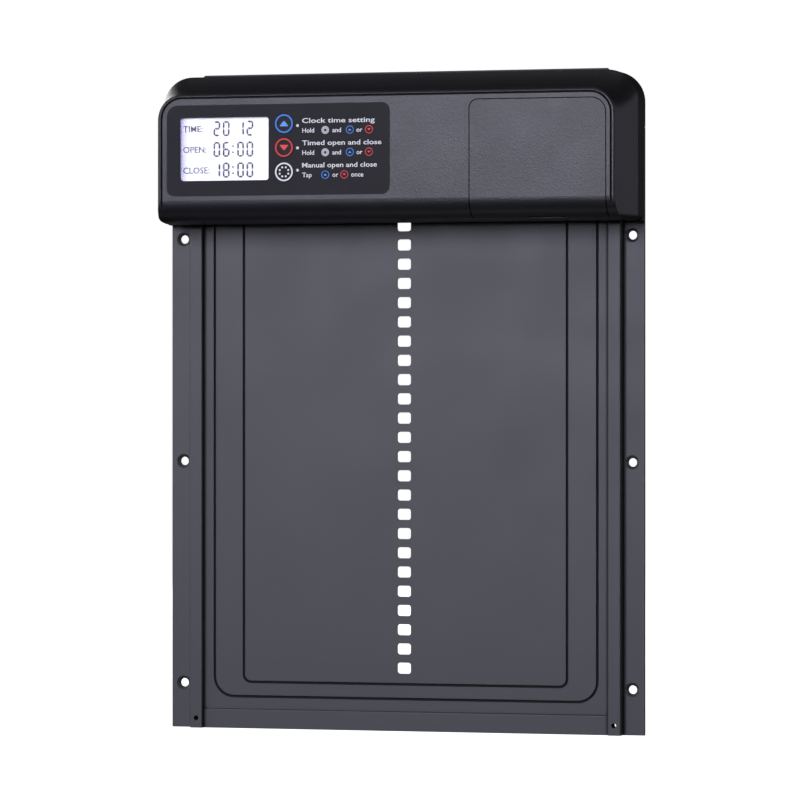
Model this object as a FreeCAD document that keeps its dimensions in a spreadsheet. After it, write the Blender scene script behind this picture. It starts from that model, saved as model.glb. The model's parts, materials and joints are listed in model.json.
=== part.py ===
import FreeCAD, Part
import Sketcher
import math
import os

# Automatic coop door: a sheet door with a punched rack slides up between two
# wall rails, driven by the pinion of a geared motor in the housing above it.
# X runs to the right, Y into the wall and Z up.  The wall is the plane Y = 0
# and the origin is the centre of the six wall screws.

doc = FreeCAD.newDocument("coop_door")
sheet = doc.addObject("Spreadsheet::Sheet", "sizes")

SIZES = (
    # rails
    ("frame_half", 120.0, "half the width over both rails"),
    ("frame_foot", -132.0, "lower end of rails and sill"),
    ("rail_head", 162.0, "upper end of the rails, inside the housing"),
    ("flange_thick", 2.5, "rail flange on the wall"),
    ("rail_outer", 109.3, "outer side of the raised rail box"),
    ("rail_inner", 103.0, "inner side of the raised rail box"),
    ("rail_depth", 7.5, "front of the raised rail box"),
    ("track_back", 2.7, "back side of the door track"),
    ("track_front", 4.8, "front side of the door track"),
    ("track_reach", 108.0, "bottom of the door track"),
    ("rail_round", 0.5, "edge rounding of the extrusion"),
    ("wall_screw_side", 114.0, "wall screws from the centre line"),
    ("wall_screw_step", 110.0, "wall screws one above the other"),
    ("wall_screw_hole", 4.2, "clearance hole"),
    ("wall_screw_sink", 7.0, "countersink"),
    ("foot_hole", 2.4, "pin hole through rail foot and sill tongue"),
    ("foot_hole_side", 106.0, "pin hole from the centre line"),
    ("foot_hole_level", -127.2, "pin hole height"),
    # sill
    ("sill_head", -122.5, "upper side of the sill bar"),
    ("sill_depth", 5.0, "front face of the sill bar"),
    ("fit_gap", 0.1, "side play of a fitted part"),
    # door panel
    ("panel_half", 107.4, "half width of the door panel"),
    ("panel_foot", -122.2, "lower edge of the closed door"),
    ("panel_head", 191.0, "upper edge of the closed door"),
    ("panel_back", 3.0, "back face of the door panel"),
    ("panel_thick", 1.5, "sheet thickness"),
    ("panel_chamfer", 5.2, "cut corners at the upper edge"),
    ("rack_module", 3.0, "module of the punched rack"),
    ("rack_slots", 29.0, "number of rack slots"),
    ("rack_first", -101.15, "centre of the lowest slot"),
    ("rack_mesh_slot", 26.0, "slot that the pinion stands in, counted from the lowest"),
    ("slot_width", 7.0, "rack slot across"),
    ("slot_height", 5.4, "rack slot along the rack"),
    ("slot_round", 1.3, "rack slot corners"),
    ("bead_width", 1.4, "pressed line in the panel"),
    ("bead_depth", 0.9, "depth of the pressed line"),
    ("bead_outer_side", 97.9, "outer line, outside edge"),
    ("bead_outer_margin", 5.25, "outer line from the panel's ends"),
    ("bead_outer_round", 10.7, "outer line corners"),
    ("bead_inner_side", 82.8, "inner line, outside edge"),
    ("bead_inner_margin", 12.45, "inner line from the panel's ends"),
    ("bead_inner_round", 4.5, "inner line corners"),
    # housing
    ("case_foot", 116.85, "lower side of the housing"),
    ("case_head", 189.35, "upper side of the housing"),
    ("case_round", 15.0, "upper corners of the housing"),
    ("case_foot_round", 3.0, "lower corners of the housing"),
    ("case_part", 16.2, "parting plane of shell and cover"),
    ("case_face", 42.0, "front face of the cover"),
    ("face_half", 114.5, "half width of the front face"),
    ("face_head", 179.2, "upper edge of the front face"),
    ("face_corner", 12.3, "upper corners of the front face"),
    ("belly_start", 25.0, "where the underside begins to rise"),
    ("belly_angle", 5.0, "rise of the underside towards the front, in degrees"),
    ("belly_round", 10.0, "roll of the lower front edge"),
    ("case_wall", 2.0, "wall of the mouldings"),
    ("base_back", 7.8, "back of the shell's base wall"),
    ("panel_slot_half", 107.9, "half width of the slot for the door"),
    ("rim_round", 1.2, "edge of the front face"),
    ("line_side", 113.05, "line groove on the face, outside edge"),
    ("line_head", 178.0, "line groove, upper edge"),
    ("line_round", 10.8, "line groove corners"),
    ("line_width", 1.1, "line groove width"),
    ("line_depth", 0.9, "line groove depth"),
    ("groove_floor", 0.2, "width of a V-shaped groove at its floor"),
    ("cover_screw_side", 113.2, "cover screws from the centre line"),
    ("cover_screw_low", 128.0, "lower cover screws"),
    ("cover_screw_high", 173.0, "upper cover screws"),
    ("cover_screw_hole", 3.2, "clearance hole of a cover screw"),
    ("cover_screw", 2.9, "cover screw thread"),
    ("cover_screw_sink", 1.5, "depth of a cover screw's countersink"),
    ("boss_round", 3.0, "radius of a screw boss"),
    ("boss_front", 24.0, "front end of a screw boss"),
    ("screw_pilot", 1.5, "radius of a pilot hole for a 3 mm screw"),
    ("pinion_window_half", 6.0, "opening round the rack pinion, half width"),
    ("pinion_window_reach", 14.5, "opening round the rack pinion, half height"),
    ("wheel_window_half", 4.0, "opening round the worm wheel, half width"),
    ("wheel_window_reach", 10.0, "opening round the worm wheel, half height"),
    # back plate
    ("plate_thick", 2.0, "back plate thickness"),
    ("plate_foot", 119.0, "lower end of the back plate's tongue"),
    ("plate_step", 162.3, "lower edge of the back plate's wide part"),
    ("plate_head", 187.0, "upper edge of the back plate"),
    ("plate_half", 117.6, "half width of the back plate"),
    ("tongue_half", 20.0, "half width of the tongue behind the rack"),
    # label, display and keys
    ("label_left", -109.7, "left edge of the label"),
    ("label_right", 3.3, "right edge of the label"),
    ("label_foot", 129.6, "lower edge of the label"),
    ("label_head", 173.8, "upper edge of the label"),
    ("label_round", 4.0, "label corners"),
    ("label_thick", 0.5, "label thickness"),
    ("label_proud", 0.06, "label standing above the face"),
    ("display_left", -102.6, "left edge of the display window"),
    ("display_right", -57.8, "right edge of the display window"),
    ("display_foot", 137.05, "lower edge of the display window"),
    ("display_head", 167.75, "upper edge of the display window"),
    ("display_round", 1.4, "display window corners"),
    ("window_back", 40.3, "back of the display window"),
    ("key_side", -49.9, "keys, from the centre line"),
    ("key_up_level", 164.25, "height of the up key"),
    ("key_down_level", 152.65, "height of the down key"),
    ("key_set_level", 140.85, "height of the set key"),
    ("key_round", 4.75, "radius of a key cap"),
    ("key_gap", 0.15, "play around a key cap"),
    ("key_rim_round", 5.3, "radius of a key's inner rim"),
    ("key_rim_back", 38.8, "back of a key's rim"),
    ("key_proud", 0.35, "key above the face"),
    ("key_travel", 0.5, "key travel"),
    # control board
    ("board_back", 31.8, "back of the control board"),
    ("board_thick", 1.6, "control board thickness"),
    ("board_left", -106.0, "left edge of the board"),
    ("board_right", -4.0, "right edge of the board"),
    ("board_foot", 127.0, "lower edge of the board"),
    ("board_head", 176.0, "upper edge of the board"),
    ("socket_side", -14.0, "lead sockets on the board, from the centre line"),
    ("socket_motor_level", 158.0, "height of the motor's lead socket"),
    ("socket_battery_level", 149.0, "height of the battery's lead socket"),
    # drive
    ("pinion_teeth", 8.0, "teeth of the rack pinion"),
    ("pinion_width", 5.6, "face width of the pinion"),
    ("worm_module", 0.8, "module of worm and wheel"),
    ("wheel_teeth", 20.0, "teeth of the worm wheel"),
    ("wheel_side", 22.0, "worm wheel from the centre line"),
    ("wheel_width", 4.0, "face width of the worm wheel"),
    ("worm_round", 4.0, "pitch radius of the worm"),
    ("shaft_round", 2.5, "radius of the cross shaft"),
    ("shaft_left", -13.0, "left end of the cross shaft"),
    ("shaft_right", 38.0, "right end of the cross shaft"),
    ("bush_play", 0.05, "running clearance in the bushes"),
    ("cheek_left", -11.4, "left side of the bracket's left cheek"),
    ("cheek_right", 33.5, "left side of the bracket's right cheek"),
    ("cheek_thick", 2.0, "thickness of a cheek"),
    ("clamp_screw_reach", 9.2, "motor clamp screws from the motor's axis"),
    ("motor_tab_reach", 3.2, "motor's tabs from its axis"),
    # battery bay
    ("lid_left", 43.0, "left edge of the battery lid"),
    ("lid_right", 109.8, "right edge of the battery lid"),
    ("lid_head", 174.3, "upper edge of the battery lid"),
    ("lid_hem", 34.0, "where the lid ends under the belly"),
    ("lid_gap", 0.45, "gap around the lid"),
    ("lid_round_left", 4.0, "upper left corner of the lid"),
    ("lid_round_right", 7.0, "upper right corner of the lid"),
    ("tab_first", 58.0, "left tab of the lid, centre"),
    ("tab_last", 94.0, "right tab of the lid, centre"),
    ("tab_width", 8.0, "width of a tab"),
    ("tab_round", 3.3, "radius of a tab about the lid's upper front edge"),
    ("tab_angle", 50.0, "height of a tab's tip seen from that edge, in degrees"),
    ("tab_root", 5.0, "foot of a tab below the lid's upper edge"),
    ("nail_side", 79.2, "fingernail slot under the lid, centre"),
    ("nail_width", 19.0, "fingernail slot across"),
    ("nail_foot", 117.9, "lower side of the fingernail slot"),
    ("nail_head", 118.6, "upper side of the fingernail slot"),
    ("nail_round", 0.3, "fingernail slot corners"),
    ("nail_front", 35.7, "front of the fingernail slot, in the lid's hem"),
    ("nail_back", 28.0, "back of the fingernail slot, in the cover"),
    ("cell_round", 7.2, "radius of an AA cell"),
    ("cell_length", 50.0, "length of an AA cell with its nipple"),
    ("cell_step", 15.0, "distance between cells"),
    ("cell_depth", 28.0, "cell axes from the wall"),
    ("cell_foot", 124.3, "lower end of the cells"),
    ("tray_wall", 1.4, "wall of the battery tray"),
    ("tray_left", 44.9, "left side of the battery tray"),
    ("tray_right", 107.9, "right side of the battery tray"),
    ("tray_foot", 121.8, "lower side of the battery tray"),
    ("tray_head", 177.3, "upper side of the battery tray"),
    ("tray_back", 18.5, "back of the battery tray"),
    ("tray_front", 35.9, "front edge of the battery tray"),
    ("tray_post_first", 61.4, "left post under the battery tray"),
    ("tray_post_last", 91.4, "right post under the battery tray"),
    ("tray_post_level", 150.0, "height of the posts"),
)


class Size:
    """A number of the sheet, or a sum or product of them, with its formula."""

    def __init__(self, value, formula):
        self.value = float(value)
        self.formula = formula

    def __add__(self, other):
        return joined(self, other, "+", self.value + number(other))

    def __radd__(self, other):
        return joined(other, self, "+", number(other) + self.value)

    def __sub__(self, other):
        return joined(self, other, "-", self.value - number(other))

    def __rsub__(self, other):
        return joined(other, self, "-", number(other) - self.value)

    def __mul__(self, other):
        return joined(self, other, "*", self.value * number(other))

    def __rmul__(self, other):
        return joined(other, self, "*", number(other) * self.value)

    def __truediv__(self, other):
        return joined(self, other, "/", self.value / number(other))

    def __neg__(self):
        return self * -1


def number(size):
    return size.value if isinstance(size, Size) else float(size)


def formula(size):
    return size.formula if isinstance(size, Size) else "(%.6g)" % size


def joined(first, second, sign, value):
    return Size(value, "(%s %s %s)" % (formula(first), sign, formula(second)))


def cosine(angle):
    return Size(math.cos(math.radians(angle.value)), "cos(%s)" % angle.formula)


def sine(angle):
    return Size(math.sin(math.radians(angle.value)), "sin(%s)" % angle.formula)


def tangent(angle):
    return Size(math.tan(math.radians(angle.value)), "tan(%s)" % angle.formula)


class Sizes:
    """The sheet's cells as attributes."""


s = Sizes()
for row, (alias, value, note) in enumerate(SIZES, start=1):
    sheet.set("A%d" % row, alias)
    sheet.set("B%d" % row, "%g" % value)
    sheet.setAlias("B%d" % row, alias)
    sheet.set("C%d" % row, note)
    setattr(s, alias, Size(value, "sizes." + alias))
doc.recompute()

# derived sizes
rack_pitch = s.rack_module * math.pi
pinion_pitch_round = s.rack_module * s.pinion_teeth / 2
axle_level = s.rack_first + s.rack_mesh_slot * rack_pitch
axle_depth = s.panel_back + s.panel_thick / 2 + pinion_pitch_round
wheel_pitch_round = s.worm_module * s.wheel_teeth / 2
worm_depth = axle_depth + wheel_pitch_round + s.worm_round
worm_pitch = s.worm_module * math.pi
base_front = s.base_back + s.case_wall
board_front = s.board_back + s.board_thick
cover_inside = s.case_face - s.case_wall

gearbox_foot = axle_level + wheel_pitch_round + 0.8
block_front = worm_depth - 5.05
bracket_screw_places = tuple((side, axle_level + rise) for side in (s.cheek_left - 1.0, s.cheek_right + 3.0)
                             for rise in (30.0, -10.5))
clamp_level = gearbox_foot + 14.0
tray_post_places = (s.tray_post_first, s.tray_post_last)

parts = []


# ---------------------------------------------------------------- modelling helpers

def bind(thing, prop, size):
    """Sets a property to a size, through the sheet when it comes from there."""
    if isinstance(size, Size):
        thing.setExpression(prop, size.formula)
    else:
        setattr(thing, prop, size)


def place(thing, x=0.0, y=0.0, z=0.0, axis=(0, 0, 1), angle=0.0):
    """Gives a part its Placement, bound to the sheet."""
    base = FreeCAD.Vector(number(x), number(y), number(z))
    thing.Placement = FreeCAD.Placement(base, FreeCAD.Rotation(FreeCAD.Vector(*axis), angle))
    for name, size in (("x", x), ("y", y), ("z", z)):
        if isinstance(size, Size):
            thing.setExpression("Placement.Base." + name, size.formula)
    return thing


def keep(thing, label):
    """Names a finished sub-part."""
    thing.Label = label
    parts.append(thing)
    return thing


def new_body(label, kept=True):
    body = doc.addObject("PartDesign::Body", label)
    if kept:
        keep(body, label)
    return body


def origin_feature(body, role):
    return next(item for item in body.Origin.OriginFeatures if item.Role == role)


# each plane: its role, and the sign of the axis that the sketch looks along
PLANES = {"XY": ("XY_Plane", 1), "YZ": ("YZ_Plane", 1), "XZ": ("XZ_Plane", -1)}


def new_sketch(body, plane, level, outlines):
    """A sketch parallel to an origin plane, at the given height on its axis."""
    role, sign = PLANES[plane]
    sketch = body.newObject("Sketcher::SketchObject", body.Name + "_sketch")
    sketch.AttachmentSupport = [(origin_feature(body, role), "")]
    sketch.MapMode = "FlatFace"
    offset = level * sign
    sketch.AttachmentOffset = FreeCAD.Placement(FreeCAD.Vector(0, 0, number(offset)), FreeCAD.Rotation())
    if isinstance(offset, Size):
        sketch.setExpression("AttachmentOffset.Base.z", offset.formula)
    for outline in outlines:
        outline(sketch)
    return sketch


def drive(sketch, constraint, size):
    """Adds a constraint whose value comes from the sheet."""
    index = sketch.addConstraint(constraint)
    if isinstance(size, Size):
        sketch.setExpression("Constraints[%d]" % index, size.formula)


def pin(sketch, item, end, x, y):
    """Fixes a point of the sketch at (x, y)."""
    drive(sketch, Sketcher.Constraint("DistanceX", -1, 1, item, end, number(x)), x)
    drive(sketch, Sketcher.Constraint("DistanceY", -1, 1, item, end, number(y)), y)


def vector(x, y):
    return FreeCAD.Vector(number(x), number(y), 0)


def polygon(*points):
    """An outline of straight lines through the points."""
    def draw(sketch):
        ends = points[1:] + points[:1]
        lines = [sketch.addGeometry(Part.LineSegment(vector(*a), vector(*b))) for a, b in zip(points, ends)]
        for line, point in zip(lines, points):
            pin(sketch, line, 1, *point)
        for line, after in zip(lines, lines[1:] + lines[:1]):
            sketch.addConstraint(Sketcher.Constraint("Coincident", line, 2, after, 1))
    return draw


def rectangle(left, right, low, high):
    return polygon((left, low), (right, low), (right, high), (left, high))


def rounded(left, right, low, high, radii):
    """A rectangle with round corners; radii from the lower left, anticlockwise."""
    radii = radii if isinstance(radii, tuple) else (radii,) * 4
    corners = ((left, low, 1, 1), (right, low, -1, 1), (right, high, -1, -1), (left, high, 1, -1))

    def draw(sketch):
        arcs = []
        for turn, ((x, y, inward_x, inward_y), radius) in enumerate(zip(corners, radii)):
            centre = vector(x + radius * inward_x, y + radius * inward_y)
            circle = Part.Circle(centre, FreeCAD.Vector(0, 0, 1), number(radius))
            start = math.pi + turn * math.pi / 2
            arc = sketch.addGeometry(Part.ArcOfCircle(circle, start, start + math.pi / 2))
            pin(sketch, arc, 3, x + radius * inward_x, y + radius * inward_y)
            drive(sketch, Sketcher.Constraint("Radius", arc, number(radius)), radius)
            arcs.append(arc)
        for arc, after in zip(arcs, arcs[1:] + arcs[:1]):
            geometry = sketch.Geometry
            line = sketch.addGeometry(Part.LineSegment(geometry[arc].EndPoint, geometry[after].StartPoint))
            sketch.addConstraint(Sketcher.Constraint("Tangent", arc, 2, line, 1))
            sketch.addConstraint(Sketcher.Constraint("Tangent", line, 2, after, 1))
    return draw


def path(points, bends):
    """A closed outline; bends gives the arcs: index of the start point to (radius, x, y)."""
    def draw(sketch):
        items = []
        for index, point in enumerate(points):
            after = points[(index + 1) % len(points)]
            if index not in bends:
                line = sketch.addGeometry(Part.LineSegment(vector(*point), vector(*after)))
                items.append((line, 1, 2))
                continue
            radius, x, y = bends[index]
            centre = vector(x, y)
            first, last = vector(*point) - centre, vector(*after) - centre
            start, end = math.atan2(first.y, first.x), math.atan2(last.y, last.x)
            forward = (end - start) % (2 * math.pi) < math.pi
            span = (start, end) if forward else (end, start)
            circle = Part.Circle(centre, FreeCAD.Vector(0, 0, 1), number(radius))
            arc = sketch.addGeometry(Part.ArcOfCircle(circle, *span))
            drive(sketch, Sketcher.Constraint("Radius", arc, number(radius)), radius)
            items.append((arc, 1, 2) if forward else (arc, 2, 1))
        for (item, start, end), point in zip(items, points):
            pin(sketch, item, start, *point)
        for (item, start, end), (follower, first, last) in zip(items, items[1:] + items[:1]):
            sketch.addConstraint(Sketcher.Constraint("Coincident", item, end, follower, first))
    return draw


def arch(half, low, head, radius, thick):
    """A band of even thickness over the top and down both sides, open below."""
    inner, small = half - thick, radius - thick
    spring = head - radius
    points = (
        (-half, low), (-half, spring), (-half + radius, head),
        (half - radius, head), (half, spring), (half, low),
        (inner, low), (inner, spring), (inner - small, head - thick),
        (-inner + small, head - thick), (-inner, spring), (-inner, low))
    left, right = -half + radius, half - radius
    bends = {1: (radius, left, spring), 3: (radius, right, spring),
             7: (small, right, spring), 9: (small, left, spring)}
    return path(points, bends)


def disc(x, y, radius):
    def draw(sketch):
        circle = sketch.addGeometry(Part.Circle(vector(x, y), FreeCAD.Vector(0, 0, 1), number(radius)))
        pin(sketch, circle, 3, x, y)
        drive(sketch, Sketcher.Constraint("Radius", circle, number(radius)), radius)
    return draw


def pad(body, plane, low, high, *outlines):
    """Material from low to high on the axis across the plane."""
    start = high if PLANES[plane][1] < 0 else low
    sketch = new_sketch(body, plane, start, outlines)
    feature = body.newObject("PartDesign::Pad", body.Name + "_pad")
    feature.Profile = sketch
    bind(feature, "Length", high - low)
    return feature


def pocket(body, plane, low, high, *outlines):
    """Cuts from low to high on the axis across the plane."""
    doc.recompute()
    before = body.Shape.Volume
    start = low if PLANES[plane][1] < 0 else high
    sketch = new_sketch(body, plane, start, outlines)
    feature = body.newObject("PartDesign::Pocket", body.Name + "_pocket")
    feature.Profile = sketch
    bind(feature, "Length", high - low)
    doc.recompute()
    if not feature.Shape.Volume < before - 1e-4:
        raise RuntimeError("%s removes nothing" % feature.Name)
    return feature


def groove(body, front, depth, mouth, floor):
    """Cuts a V-shaped groove from its mouth in the face at front to its floor."""
    doc.recompute()
    before = body.Shape.Volume
    feature = body.newObject("PartDesign::SubtractiveLoft", body.Name + "_groove")
    feature.Profile = new_sketch(body, "XZ", front, mouth)
    feature.Sections = [new_sketch(body, "XZ", front + depth, floor)]
    doc.recompute()
    if not feature.Shape.Volume < before - 1e-4:
        raise RuntimeError("%s removes nothing" % feature.Name)


def edges_where(body, test):
    """Names of the body's edges whose two ends and middle pass the test."""
    doc.recompute()
    names = []
    for index, edge in enumerate(body.Shape.Edges, start=1):
        first, last = edge.ParameterRange
        points = [edge.valueAt(first + (last - first) * step) for step in (0, 0.5, 1)]
        if all(test(point) for point in points):
            names.append("Edge%d" % index)
    if not names:
        raise RuntimeError("%s has no such edge" % body.Label)
    return names


def dress(body, kind, size, test):
    """Rounds or chamfers the edges that pass the test."""
    names = edges_where(body, test)
    base = body.Tip
    feature = body.newObject("PartDesign::" + kind, body.Name + "_" + kind.lower())
    feature.Base = (base, names)
    bind(feature, "Radius" if kind == "Fillet" else "Size", size)
    return feature


def repeat(body, feature, kind, **settings):
    """A polar or linear pattern of one feature, which becomes the body's tip."""
    pattern = body.newObject("PartDesign::" + kind, body.Name + "_pattern")
    pattern.Originals = [feature]
    for name, value in settings.items():
        setattr(pattern, name, value)
    body.Tip = pattern
    return pattern


def near(value, target, reach=0.01):
    return abs(value - number(target)) < reach


def combine(body, kind, tool):
    """Boolean of a body with a tool body."""
    boolean = body.newObject("PartDesign::Boolean", body.Name + "_" + kind.lower())
    boolean.Type = kind
    boolean.setObjects([tool])
    return boolean


def fused(label, pieces):
    """Several primitives in one node; pieces that don't touch stay separate solids."""
    group = doc.addObject("Part::MultiFuse", label)
    group.Shapes = pieces
    return keep(group, label)


def cylinder(radius, length, x, y, z, axis=(0, 0, 1), angle=0.0):
    thing = doc.addObject("Part::Cylinder", "cylinder")
    bind(thing, "Radius", radius)
    bind(thing, "Height", length)
    return place(thing, x, y, z, axis, angle)


def box(size_x, size_y, size_z, x, y, z):
    thing = doc.addObject("Part::Box", "box")
    bind(thing, "Length", size_x)
    bind(thing, "Width", size_y)
    bind(thing, "Height", size_z)
    return place(thing, x, y, z)


def cone(low_radius, high_radius, length, x, y, z, axis=(0, 0, 1), angle=0.0):
    thing = doc.addObject("Part::Cone", "cone")
    bind(thing, "Radius1", low_radius)
    bind(thing, "Radius2", high_radius)
    bind(thing, "Height", length)
    return place(thing, x, y, z, axis, angle)


FORWARD = {"axis": (1, 0, 0), "angle": 90.0}     # turns +Z to -Y
SIDEWAYS = {"axis": (0, 1, 0), "angle": 90.0}    # turns +Z to +X


# ---------------------------------------------------------------- rails, sill and door

def rail(label, side):
    """Aluminium extrusion: wall flange and a raised box with the door's track."""
    body = new_body(label)
    section = (
        (s.frame_half, 0.0), (s.frame_half, -s.flange_thick), (s.rail_outer, -s.flange_thick),
        (s.rail_outer, -s.rail_depth), (s.rail_inner, -s.rail_depth), (s.rail_inner, -s.track_front),
        (s.track_reach, -s.track_front), (s.track_reach, -s.track_back), (s.rail_inner, -s.track_back),
        (s.rail_inner, 0.0),
    )
    pad(body, "XY", s.frame_foot, s.rail_head, polygon(*[(x * side, y) for x, y in section]))
    dress(body, "Fillet", s.rail_round, lambda p: near(p.y, -s.rail_depth) and (
        near(abs(p.x), s.rail_outer) or near(abs(p.x), s.rail_inner)))
    levels = (-s.wall_screw_step, 0.0, s.wall_screw_step)
    holes = [disc(s.wall_screw_side * side, level, s.wall_screw_hole / 2) for level in levels]
    screw_sketch = new_sketch(body, "XZ", -s.flange_thick, holes)
    doc.recompute()
    hole = body.newObject("PartDesign::Hole", label + "_wall_screws")
    hole.Profile = screw_sketch
    hole.Threaded = False
    bind(hole, "Diameter", s.wall_screw_hole)
    hole.DepthType = "ThroughAll"
    hole.HoleCutType = "Countersink"
    bind(hole, "HoleCutDiameter", s.wall_screw_sink)
    hole.HoleCutCountersinkAngle = 90.0
    foot_hole = disc(s.foot_hole_side * side, s.foot_hole_level, s.foot_hole / 2)
    pocket(body, "XZ", -s.rail_depth, 0.0, foot_hole)
    pocket(body, "XZ", -s.flange_thick, 0.0,
           disc(s.cover_screw_side * side, s.cover_screw_low, s.cover_screw_hole / 2))
    sink(body, s.cover_screw_low)


def sink(body, level):
    """Countersinks the cover screw holes at this height on the wall side."""
    radius = s.cover_screw_hole / 2
    dress(body, "Chamfer", s.cover_screw_sink, lambda p: near(p.y, 0.0) and near(
        math.hypot(abs(p.x) - number(s.cover_screw_side), p.z - number(level)), radius))


def sill_bar():
    """Bar between the rails' feet, with a tongue in each track."""
    body = new_body("sill_bar")
    inner = s.rail_inner - s.fit_gap
    pad(body, "XZ", -s.sill_depth, 0.0, rectangle(-inner, inner, s.frame_foot, s.sill_head))
    reach = s.track_reach - s.fit_gap
    for side in (-1, 1):
        ends = (inner * side, reach * side)
        left, right = min(ends, key=number), max(ends, key=number)
        pad(body, "XZ", -s.track_front + s.fit_gap, -s.track_back - s.fit_gap,
            rectangle(left, right, s.frame_foot, s.sill_head))
    holes = [disc(s.foot_hole_side * side, s.foot_hole_level, s.foot_hole / 2) for side in (-1, 1)]
    pocket(body, "XZ", -s.sill_depth, 0.0, *holes)
    dress(body, "Fillet", s.rail_round, lambda p: near(p.y, -s.sill_depth) and near(p.z, s.sill_head))


def bead(body, side, margin, radius):
    """A pressed line round the panel."""
    low, high = s.panel_foot + margin, s.panel_head - margin
    flank = (s.bead_width - s.groove_floor) / 2
    rings = [rounded(-side + inset, side - inset, low + inset, high - inset, radius - inset)
             for inset in (0.0, s.bead_width, flank, s.bead_width - flank)]
    groove(body, -s.panel_back - s.panel_thick, s.bead_depth, rings[:2], rings[2:])


def door_panel():
    """Aluminium sheet with a row of rack slots and two pressed lines."""
    body = new_body("door_panel")
    low, high, half, cut = s.panel_foot, s.panel_head, s.panel_half, s.panel_chamfer
    front = -s.panel_back - s.panel_thick
    pad(body, "XZ", front, -s.panel_back, polygon(
        (-half, low), (half, low), (half, high - cut),
        (half - cut, high), (-half + cut, high), (-half, high - cut)))
    bead(body, s.bead_outer_side, s.bead_outer_margin, s.bead_outer_round)
    bead(body, s.bead_inner_side, s.bead_inner_margin, s.bead_inner_round)
    across, along = s.slot_width / 2, s.slot_height / 2
    slot = pocket(body, "XZ", front, -s.panel_back, rounded(
        -across, across, s.rack_first - along, s.rack_first + along, s.slot_round))
    rack = repeat(body, slot, "LinearPattern", Direction=(slot.Profile[0], ["V_Axis"]),
                  Occurrences=int(s.rack_slots.value))
    bind(rack, "Length", (s.rack_slots - 1) * rack_pitch)


# ---------------------------------------------------------------- housing

COVE_SHARES = (0.0, 1 / 3, 2 / 3, 1.0)     # sections of the cover, from its back to its face


def case_outline(inset, foot):
    """The housing seen from the front, drawn in by inset."""
    half = s.frame_half - inset
    round_top = s.case_round - inset
    round_foot = s.case_foot_round - inset / 2
    return rounded(-half, half, foot, s.case_head - inset, (round_foot, round_foot, round_top, round_top))


def rear_shell():
    """Back half of the housing: base wall, rim, and screw posts."""
    body = new_body("rear_shell")
    wall = s.case_wall
    pad(body, "XZ", -base_front, -s.base_back, case_outline(0.0, s.case_foot))
    pad(body, "XZ", -s.case_part, -base_front,
        case_outline(0.0, s.case_foot), case_outline(wall, s.case_foot + wall))
    # the rim behind the base wall is open below, where the door and rails come in
    half, head = s.frame_half, s.case_head
    pad(body, "XZ", -s.base_back, -s.flange_thick, arch(half, s.case_foot, head, s.case_round, wall))
    pad(body, "XZ", -s.flange_thick, 0.0, arch(half, s.rail_head + 0.2, head, s.case_round, wall))
    for side in (-1, 1):
        screw_x = s.cover_screw_side * side
        pad(body, "XZ", -s.base_back, -s.flange_thick - 0.02, disc(screw_x, s.cover_screw_low, s.boss_round))
        pad(body, "XZ", -s.base_back, -s.plate_thick - 0.02, disc(screw_x, s.cover_screw_high, s.boss_round))
    levels = (s.cover_screw_low, s.cover_screw_high)
    holes = [disc(s.cover_screw_side * side, z, s.cover_screw_hole / 2) for side in (-1, 1) for z in levels]
    pocket(body, "XZ", -base_front, -s.plate_thick, *holes)
    pocket(body, "XY", s.case_head - s.case_wall * 2, s.case_head,
           rectangle(-s.panel_slot_half, s.panel_slot_half, -s.track_front, -s.track_back))
    pocket(body, "XZ", -base_front, -s.base_back, pinion_window(2.0), wheel_window(2.0))
    pilots = bracket_screw_places + tuple((x, s.tray_post_level) for x in tray_post_places)
    pocket(body, "XZ", -base_front, -s.base_back, *[disc(x, z, s.screw_pilot) for x, z in pilots])


def pinion_window(corner):
    """Opening round the rack pinion seen from the front."""
    across, along = s.pinion_window_half, s.pinion_window_reach
    return rounded(-across, across, axle_level - along, axle_level + along, corner)


def wheel_window(corner):
    """Opening round the worm wheel seen from the front."""
    x, across, along = s.wheel_side, s.wheel_window_half, s.wheel_window_reach
    return rounded(x - across, x + across, axle_level - along, axle_level + along, corner)


def blended(first, last, share):
    """The size that lies this share of the way from first to last."""
    return first + (last - first) * share


def cover_form(body, inset, rim_round):
    """The cover's outer form, or its inside when drawn in by inset."""
    back = -s.case_part
    front = -s.case_face + inset
    foot = s.case_foot + inset
    low = s.case_foot_round - inset / 2
    sections = []
    for share in COVE_SHARES:
        drawn = share * (2 - share)     # the top is a cove that slopes more towards the back
        half = blended(s.frame_half, s.face_half, share) - inset
        head = blended(s.case_head, s.face_head, drawn) - inset
        top = blended(s.case_round, s.face_corner, drawn) - inset
        outline = rounded(-half, half, foot, head, (low, low, top, top))
        sections.append(new_sketch(body, "XZ", blended(back, front, share), [outline]))
    loft = body.newObject("PartDesign::AdditiveLoft", body.Name + "_loft")
    loft.Profile = sections[0]
    loft.Sections = sections[1:]
    if number(rim_round):
        dress(body, "Fillet", rim_round, lambda p: near(p.y, front))
    # the underside rises a little towards the front and rolls up into the face
    radius = s.belly_round - inset
    centre_y = -s.case_face + s.belly_round
    slope = tangent(s.belly_angle)
    fall = (-s.belly_start - centre_y) * slope
    centre_z = s.case_foot + fall + s.belly_round / cosine(s.belly_angle)
    touch = (centre_y - radius * sine(s.belly_angle), centre_z - radius * cosine(s.belly_angle))
    start_y = touch[0] + (touch[1] - foot) / slope
    pocket(body, "YZ", -s.frame_half, s.frame_half, path(
        ((start_y, foot), touch, (front, centre_z), (front - 1.0, centre_z), (front - 1.0, foot - 1.0),
         (start_y, foot - 1.0)),
        {1: (radius, centre_y, centre_z)}))


def wall_form(body, rim_round):
    """The cover's wall all over, open at the back."""
    cover_form(body, 0.0, rim_round)
    inside = new_body(body.Label + "_inside", kept=False)
    cover_form(inside, s.case_wall, 0.0)
    combine(body, "Cut", inside)


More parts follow.
